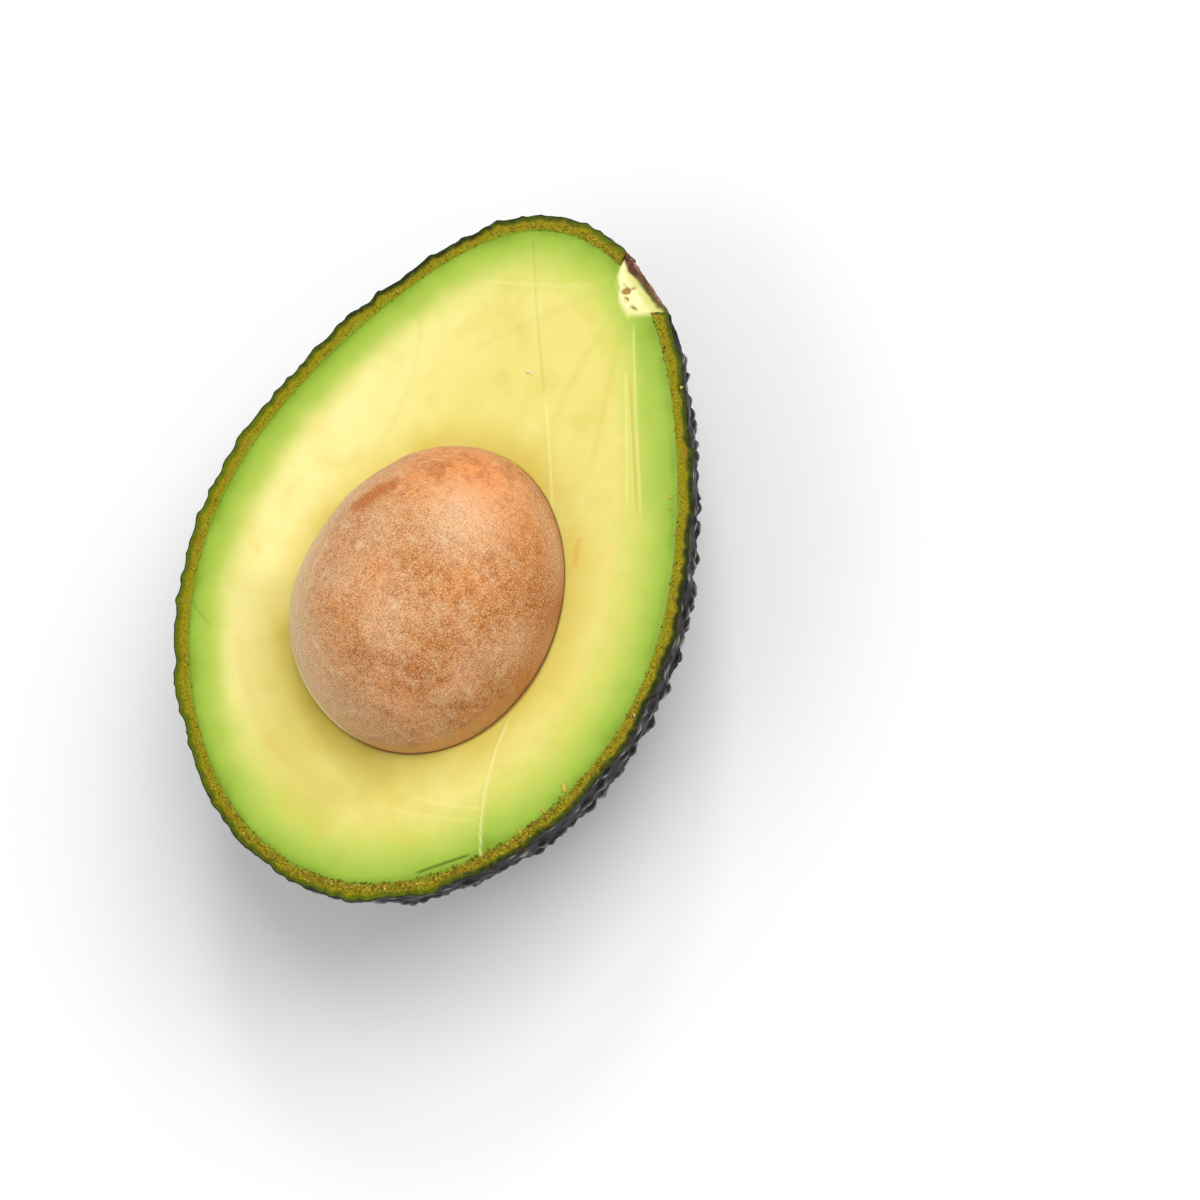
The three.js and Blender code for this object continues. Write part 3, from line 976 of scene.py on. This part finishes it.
class AVOCADO_OT_flesh(bpy.types.Operator):
    """Model the flesh with its cut face and the hollow of the stone"""

    bl_idname = "avocado.flesh"
    bl_label = "Flesh"

    COLUMNS = 720
    FACE_RINGS = 92
    BACK_RINGS = 14
    HOLLOW_RINGS = 12
    BELOW_RIM = 0.25 * MM  # how far the back ends below the skin's cut edge
    OFF_STONE = 0.04 * MM  # clearance of the hollow round the stone
    LAYERS = ("from_skin", "from_stone", "pale", "dark", "rust", "shade", "near_stem")
    # painted shadow of the stone on the flesh below and left of it
    PAINTED_SHADOWS = (  # darker flesh below and left of the stone
        (Mark((-17.5, -17.5), (-10.5, -30.5), (10.5, -33.5), 8.0), 1.0),
        (Mark((-24.0, -12.0), (-18.0, -33.0), (6.0, -42.0), 7.5), 0.8),
    )

    def execute(self, context):
        settings = context.scene.avocado
        fruit = Fruit(settings.shape)
        stem = Stem(settings.stem)
        form = StoneForm(settings.stone)
        skin = settings.skin.thickness
        bm = bmesh.new()
        angle = bm.verts.layers.float.new("angle")
        layers = float_layers(bm, self.LAYERS)
        bmesh.ops.create_circle(bm, segments=self.COLUMNS, radius=1, cap_ends=True, cap_tris=True)
        first = math.pi / 2 * (1 - 1 / self.BACK_RINGS)
        for vert in bm.verts:
            if vert.co.length < 0.5:
                vert.co = fruit.inside(Vector((0, 0, -1)), skin)
            else:
                vert[angle] = math.atan2(vert.co.y, vert.co.x)
                vert.co = fruit.inside(around_rim(vert[angle], first), skin)
        ring = [edge for edge in bm.edges if edge.is_boundary]

        def on_back(slant):
            lower = Vector((0, 0, self.BELOW_RIM))
            return lambda vert: fruit.inside(around_rim(vert[angle], slant), skin) - lower

        def in_hollow(slant):
            return lambda vert: form.point(around_rim(vert[angle], slant), self.OFF_STONE)

        def on_face(share):
            def place(vert):
                n = around_rim(vert[angle])
                p = fruit.inside(n, skin - 0.04 * MM).lerp(form.point(n, 0.02 * MM), share)
                p.z = 0
                self.mark_face(vert, p, fruit, stem, form, skin, layers)
                return p
            return place

        for i in range(2, self.BACK_RINGS + 1):
            ring, _ = extrude_ring(bm, ring, on_back(math.pi / 2 * (1 - i / self.BACK_RINGS)))
        for i in range(self.FACE_RINGS + 1):
            share = i / self.FACE_RINGS
            ring, _ = extrude_ring(bm, ring, on_face(0.15 * smooth(0, 1, share) + 0.85 * share))
        for i in range(1, self.HOLLOW_RINGS):
            ring, _ = extrude_ring(bm, ring, in_hollow(math.pi / 2 * i / self.HOLLOW_RINGS))
        bottom = form.point(Vector((0, 0, -1)), self.OFF_STONE)
        extrude_ring(bm, ring, lambda vert: bottom)
        bmesh.ops.remove_doubles(bm, verts=bm.verts, dist=0.01 * MM)
        finish_piece(bm, "flesh_cut", fruit, (flesh_material(fruit, settings.flesh),), "flesh", "flesh")
        return {"FINISHED"}

    def mark_face(self, vert, p, fruit, stem, form, skin, layers):
        """Gives a vertex of the cut face its height and what its colour needs to know."""
        below = fruit.depth(p) - skin
        beside = form.outside(p)
        vert[layers["from_stone"]] = beside / MM
        height = 0.16 * MM * grain(p, 14 * MM) + 0.05 * MM * grain(p, 4 * MM)
        height *= smooth(0, 3 * MM, below)
        shades = [0.0, 0.0, 0.0]
        greener = 0.0
        for mark in MARKS:
            strength, away, side, ends = mark.at(p)
            height += mark.height * strength
            if side < 0:
                height -= mark.step * ends * (1 - smooth(0, 6 * MM, away)) * smooth(0, 0.3 * MM, away)
            else:
                greener += mark.green * ends * (1 - smooth(0, 5 * MM, away))
            shades = [max(shade, strength * part) for shade, part in zip(shades, mark.colours)]
        vert[layers["from_skin"]] = below / MM - greener
        for name, shade in zip(("pale", "dark", "rust"), shades):
            vert[layers[name]] = shade
        # how strongly the painted shadow of the stone shows here
        vert[layers["shade"]] = max(shade.at(p)[0] * strength for shade, strength in self.PAINTED_SHADOWS)
        vert[layers["near_stem"]] = 0.8 * (1 - smooth(0, 0.8 * MM, stem.beside(p))) * stem.paleness(p)
        height -= 0.08 * MM * (1 - smooth(0, 0.4 * MM, below))
        height -= 0.06 * MM * (1 - smooth(0, 0.4 * MM, beside)) ** 2
        p.z = height * smooth(0, 1.5 * MM, stem.beside(p)) - stem.under(p)


class AVOCADO_OT_stone(bpy.types.Operator):
    """Model the stone with its downy coat"""

    bl_idname = "avocado.stone"
    bl_label = "Stone"

    LAYERS = ("downy", "dusty", "rosy", "ruddy", "band", "patch", "blotch", "lip", "foot")
    BLOTCHES = (  # directions from the centre, and radii in millimetres
        ((0.06, -0.12, 0.99), 1.8),
        ((-0.04, -0.58, 0.81), 2.8),
        ((0.37, -0.51, 0.78), 3.4),
        ((0.69, -0.57, 0.44), 1.8),
        ((-0.19, 0.69, 0.7), 2.6),
        ((0.26, 0.9, 0.35), 2.6),
        ((0.9, 0.2, 0.4), 2.4),
    )
    PATCH = Vector((-0.52, 0.4, 0.75)).normalized()  # direction of the bare patch at its upper left
    PATCH_AXIS = Vector((0.5, 0.86, -0.09)).normalized()
    PATCH_HALF = (5.0 * MM, 2.5 * MM)
    PAINTED_HIGHLIGHT = Vector((0.22, 0.46, 0.86)).normalized()  # direction of a painted highlight: a broad pale spot on the upper middle

    def execute(self, context):
        settings = context.scene.avocado
        fruit = Fruit(settings.shape)
        form = StoneForm(settings.stone)
        bm = bmesh.new()
        layers = float_layers(bm, self.LAYERS)
        bmesh.ops.create_icosphere(bm, subdivisions=7, radius=1)
        blotches = [(form.point(Vector(n).normalized()), radius * MM) for n, radius in self.BLOTCHES]
        patch_at = form.point(self.PATCH)
        highlight_at = form.point(self.PAINTED_HIGHLIGHT)
        for vert in bm.verts:
            n = vert.co.normalized()
            p = form.point(n)
            angle = math.atan2(n.y, n.x)
            right = towards(angle, -30, 100)
            edge = (1.0 + 3.2 * right + 0.8 * grain(p, 6 * MM) + 0.3 * grain(p, 1.5 * MM)) * MM
            bare = 1 - smooth(edge - 1.2 * MM, edge + 1.4 * MM, p.z)
            off = p - patch_at
            lengthwise = off.dot(self.PATCH_AXIS)
            crosswise = (off - self.PATCH_AXIS * lengthwise).length
            patch = 1 - math.hypot(lengthwise / self.PATCH_HALF[0], crosswise / self.PATCH_HALF[1])
            # painted sheen on the lower-left limb, laid on as pale dust
            dust = 1.1 * towards(angle, -150, 115) * (1 - smooth(7 * MM, 20 * MM, p.z))
            # painted light: the upper side of the stone, where the light falls, with fewer specks and less
            # dust
            top = towards(angle, 82, 75) * smooth(2 * MM, 9 * MM, p.z) * (1 - smooth(15 * MM, 19 * MM, p.z))
            patch = smooth(-0.1, 0.5, patch + 0.5 * grain(p, 2.2 * MM) + 0.4 * grain(p, 0.9 * MM))
            vert[layers["downy"]] = (1 - 0.7 * bare) * (1 - 0.6 * top) * (1 - 0.6 * patch)
            # painted highlight: a broad pale spot
            pale = 0.55 * bump_of((p - highlight_at).length, 10 * MM)
            dusty = max(dust, 0.05 + 0.5 * grain(p, 8 * MM)) * (1 - 0.6 * top)
            vert[layers["dusty"]] = min(max(dusty, pale), 1.0)
            vert[layers["rosy"]] = max(top, 0.5 * smooth(-0.1, 0.5, grain(-p, 9 * MM)))
            vert[layers["ruddy"]] = towards(angle, 18, 70) * (1 - smooth(4 * MM, 14 * MM, p.z))
            ragged = 0.9 * grain(p, 3 * MM) + 0.7 * grain(p, 1.2 * MM)
            vert[layers["blotch"]] = max(
                smooth(0.0, 0.5, 1 - (p - at).length / radius + ragged) for at, radius in blotches
            )
            vert[layers["band"]] = bare * towards(angle, -75, 85)
            vert[layers["patch"]] = patch
            # painted highlight along the lower-left limb
            lip = towards(angle, -128, 55)
            vert[layers["lip"]] = lip
            # painted contact shade at the foot, wider at the lower left where it is a painted highlight
            vert[layers["foot"]] = 1 - smooth(0.1 + 4 * lip, 0.7 + 6.5 * lip, p.z / MM)
            relief = 0.22 * grain(p, 9 * MM) + 0.07 * grain(p, 2.6 * MM) + 0.03 * grain(p, 0.7 * MM)
            relief -= 0.05 * bump_of(abs(p.z - edge), 1.5 * MM) * towards(angle, -5, 70)
            vert.co = p + n * (relief * MM * smooth(-1 * MM, 2 * MM, p.z))
        finish_piece(bm, "seed_stone", fruit, (stone_material(fruit, settings.stone),), "stone", "stone")
        return {"FINISHED"}


class AVOCADO_OT_stem(bpy.types.Operator):
    """Model the cut half of the stem button"""

    bl_idname = "avocado.stem"
    bl_label = "Stem Button"

    LAYERS = ("across", "height", "cut", "pit", "crust", "corner", "greener", "side")
    # Across, height and radius in millimetres.
    PITS = ((-0.7, -2.9, 1.1), (0.3, -3.8, 0.6), (2.2, -3.65, 0.65))
    TURNS = 16

    def execute(self, context):
        settings = context.scene.avocado
        fruit = Fruit(settings.shape)
        stem = Stem(settings.stem)
        bm = bmesh.new()
        layers = float_layers(bm, self.LAYERS)
        bmesh.ops.create_grid(bm, x_segments=72, y_segments=36, size=1)
        for vert in bm.verts:
            inwards = (1 - vert.co.y) / 2
            height = -stem.depth * inwards
            across = stem.radius_at(height) * vert.co.x
            vert[layers["across"]] = across
            vert[layers["height"]] = height + 0.25 * MM * (1 - inwards) * self.end_relief(across, stem)
            p = stem.point(across, vert[layers["height"]], 0)
            uneven = 0.25 + 0.9 * grain(p, 0.9 * MM)
            hole = max(
                bump_of(max(math.hypot(across / MM - x, height / MM - y) + uneven * r, 0.0), r * 1.3)
                for x, y, r in self.PITS
            )
            vert[layers["pit"]] = hole
            vert[layers["cut"]] = 1
            vert[layers["side"]] = smooth(-4, 5, across / MM)
            reach = 1.1 - 0.5 * vert[layers["side"]]
            below_end = -height / MM + 0.3 * grain(p, 2 * MM)
            vert[layers["crust"]] = 1 - smooth(reach - 0.3, reach + 0.3, below_end)
            vert[layers["greener"]] = (1 - smooth(1.2, 2.6, -height / MM)) * smooth(-4.5, -1, across / MM)
            vert[layers["corner"]] = 1 - stem.paleness(p)
            within = min(stem.radius_at(height) - abs(across), (1 - inwards) * stem.depth) / MM
            worn = 0.07 * (1 - smooth(0.0, 0.4, within))
            p.z = (0.07 + 0.06 * grain(p, 1.5 * MM) - 0.55 * hole - worn) * MM
            vert.co = p + Vector((grain(p, 1.6 * MM), grain(-p, 1.6 * MM), 0)) * 0.25 * MM
        ring = [edge for edge in bm.edges if edge.is_boundary]
        for edge in ring:
            edge.smooth = False

        def turned(turn):
            def place(vert):
                vert[layers["cut"]] = 0
                p = stem.point(vert[layers["across"]], vert[layers["height"]], turn)
                return p + stem.axis * (0.18 * MM * grain(p, 1.1 * MM)) - Vector((0, 0, 0.15 * MM))
            return place

        for i in range(1, self.TURNS + 1):
            ring, _ = extrude_ring(bm, ring, turned(math.pi / 2 * i / self.TURNS))
        bmesh.ops.remove_doubles(bm, verts=bm.verts, dist=0.02 * MM)
        materials = (stem_material(fruit, settings.stem),)
        finish_piece(bm, "stem_plug", fruit, materials, "stem_button", "stem_button")
        return {"FINISHED"}

    def end_relief(self, across, stem):
        """The broken end's rings: a raised edge and a raised middle."""
        out = abs(across) / stem.radius
        return bump_of(abs(out - 0.86), 0.16) + 0.8 * bump_of(out, 0.4) - 0.6 * bump_of(abs(out - 0.5), 0.12)


class AVOCADO_OT_crumbs(bpy.types.Operator):
    """Scatter the grains of the cut edge and a few crumbs on the cut face"""

    bl_idname = "avocado.crumbs"
    bl_label = "Grains and Crumbs"

    SEED = 7
    GRAINS = 2200
    CRUMBS = (  # place and size in millimetres, and tone
        ((-1.1, 29.0), 0.34, 1.0),
        ((-0.5, 29.1), 0.22, 0.97),
        ((32.3, -23.4), 0.42, 0.85),
        ((31.8, -23.1), 0.3, 0.9),
        ((31.0, -27.6), 0.36, 0.8),
        ((29.4, -31.8), 0.36, 0.8),
        ((20.9, 36.1), 0.26, 0.85),
        ((26.9, 20.9), 0.26, 0.8),
        ((27.6, 19.4), 0.22, 0.75),
    )

    def execute(self, context):
        settings = context.scene.avocado
        fruit = Fruit(settings.shape)
        stem = Stem(settings.stem)
        draw = random.Random(self.SEED)
        bm = bmesh.new()
        tone = bm.verts.layers.float.new("tone")
        made = 0
        while made < self.GRAINS:
            angle = draw.uniform(-math.pi, math.pi)
            plenty = graininess(angle)
            depth = draw.triangular(0.9, 2.5 + 0.2 * plenty, 1.8) * MM
            if draw.random() > plenty:
                continue
            made += 1
            p = fruit.inside(around_rim(angle), depth)
            across, along, _ = stem.local(p)
            if across < stem.radius_at(along) + 0.3 * MM:
                continue
            size = draw.triangular(0.08, 0.28, 0.13) * MM * (0.6 + 0.4 * plenty)
            shade = draw.betavariate(2.2, 2.4) * 0.95
            self.add(bm, p + Vector((0, 0, 0.02 * MM)), size, shade, tone, draw, 1)
        for (x, y), size, shade in self.CRUMBS:
            self.add(bm, Vector((x, y, 0.25 * size)) * MM, size * MM, shade, tone, draw, 3)
        finish_piece(bm, "rim_grains", fruit, (crumb_material(fruit),), "skin")
        return {"FINISHED"}

    def add(self, bm, place, size, shade, tone, draw, detail):
        """Adds one grain: a small ball, squeezed and dented."""
        stretch = (draw.uniform(0.6, 1.5), draw.uniform(0.6, 1.1), draw.uniform(0.5, 0.9))
        squeeze = Matrix.Diagonal((*stretch, 1))
        turn = Matrix.Rotation(draw.uniform(0, math.pi), 4, "Z")
        verts = bmesh.ops.create_icosphere(
            bm, subdivisions=detail, radius=size, matrix=Matrix.Translation(place) @ turn @ squeeze
        )["verts"]
        for vert in verts:
            vert.co += (vert.co - place) * (0.8 * grain(vert.co, size * 0.9))
            vert[tone] = shade


class AVOCADO_OT_stage(bpy.types.Operator):
    """Lay the floor and set up the soft light and the camera"""

    bl_idname = "avocado.stage"
    bl_label = "Stage"

    TOWARDS_CAMERA = Vector((0.3289, -0.0938, 0.9397))  # in the fruit's frame
    UPWARDS = Vector((-0.4009, 0.8871, 0.2289))  # the picture's upward direction, in the same frame
    AIMED_BESIDE = (23.9 * MM, -4.35 * MM)  # where the camera looks, right of and above the point it faces
    VIEW_WIDTH = 173.9 * MM
    FACED_POINT = Vector((0, -3.0 * MM, 0))
    LIGHT_DISTANCE = 1.4
    LIGHTS = (  # size, and direction as up, right and back from the cut face
        ("key", 0.9, 0.45, 0.14, 0.88),
        ("fill", 0.9, -0.2, -0.75, 0.6),
        ("glint", 0.2, 0.75, -0.1, 0.6),
    )

    def execute(self, context):
        scene = context.scene
        look = scene.avocado.stage
        fruit = Fruit(scene.avocado.shape)
        turn = fruit.lay.to_3x3()
        back = (turn @ self.TOWARDS_CAMERA).normalized()
        up = (turn @ self.UPWARDS).normalized()
        right = up.cross(back).normalized()
        faced = fruit.lay @ self.FACED_POINT
        self.floor(look)
        self.camera(scene, look, faced, back, up, right)
        self.lights(scene, look, faced, back, up, right)
        return {"FINISHED"}

    def floor(self, look):
        bm = bmesh.new()
        bmesh.ops.create_grid(bm, x_segments=1, y_segments=1, size=3.0)
        floor = new_object(bm, "floor", (floor_material(look),))

    def camera(self, scene, look, faced, back, up, right):
        data = bpy.data.cameras.new("camera")
        data.sensor_width = 36
        data.lens = data.sensor_width * look.distance / self.VIEW_WIDTH
        data.clip_start = 0.01
        camera = bpy.data.objects.new("camera", data)
        scene.collection.objects.link(camera)
        place = faced + back * look.distance
        aim = faced + right * self.AIMED_BESIDE[0] + up * self.AIMED_BESIDE[1]
        z_axis = (place - aim).normalized()
        x_axis = up.cross(z_axis).normalized()
        turn = Matrix((x_axis, z_axis.cross(x_axis), z_axis)).transposed()
        camera.matrix_world = Matrix.Translation(place) @ turn.to_4x4()
        scene.camera = camera

    def lights(self, scene, look, faced, back, up, right):
        scene.view_settings.view_transform = "Standard"
        world = bpy.data.worlds.new("studio")
        world.use_nodes = True
        sky = world.node_tree.nodes["Background"].inputs
        sky["Color"].default_value = (1, 1, 1, 1)
        sky["Strength"].default_value = look.sky
        scene.world = world
        for name, size, upwards, sideways, outwards in self.LIGHTS:
            direction = up * upwards + right * sideways + back * outwards
            self.soft_box(scene, name, getattr(look, name), size, faced, direction)

    def soft_box(self, scene, name, power, size, faced, direction):
        data = bpy.data.lights.new(name, "AREA")
        data.shape = "SQUARE"
        data.size = size
        data.energy = power
        light = bpy.data.objects.new(name, data)
        scene.collection.objects.link(light)
        light.location = faced + direction.normalized() * self.LIGHT_DISTANCE
        light.rotation_euler = direction.to_track_quat("Z", "Y").to_euler()


class AVOCADO_PT_parts(bpy.types.Panel):
    """The pieces of the avocado half"""

    bl_idname = "AVOCADO_PT_parts"
    bl_label = "Avocado Half"
    bl_space_type = "VIEW_3D"
    bl_region_type = "UI"
    bl_category = "Avocado"

    def draw(self, context):
        for operator in OPERATORS:
            self.layout.operator(operator.bl_idname)


OPERATORS = (
    AVOCADO_OT_stage,
    AVOCADO_OT_skin,
    AVOCADO_OT_flesh,
    AVOCADO_OT_stone,
    AVOCADO_OT_stem,
    AVOCADO_OT_crumbs,
)
SETTINGS = (FruitShape, SkinLook, FleshLook, StoneLook, StemLook, StageLook, Avocado)
CLASSES = (*SETTINGS, *OPERATORS, AVOCADO_PT_parts)


def register():
    for cls in CLASSES:
        bpy.utils.register_class(cls)
    bpy.types.Scene.avocado = PointerProperty(type=Avocado)


def unregister():
    del bpy.types.Scene.avocado
    for cls in reversed(CLASSES):
        bpy.utils.unregister_class(cls)


def main():
    register()
    bpy.ops.avocado.stage()
    bpy.ops.avocado.skin()
    bpy.ops.avocado.flesh()
    bpy.ops.avocado.stone()
    bpy.ops.avocado.stem()
    bpy.ops.avocado.crumbs()


if __name__ == "__main__":
    main()
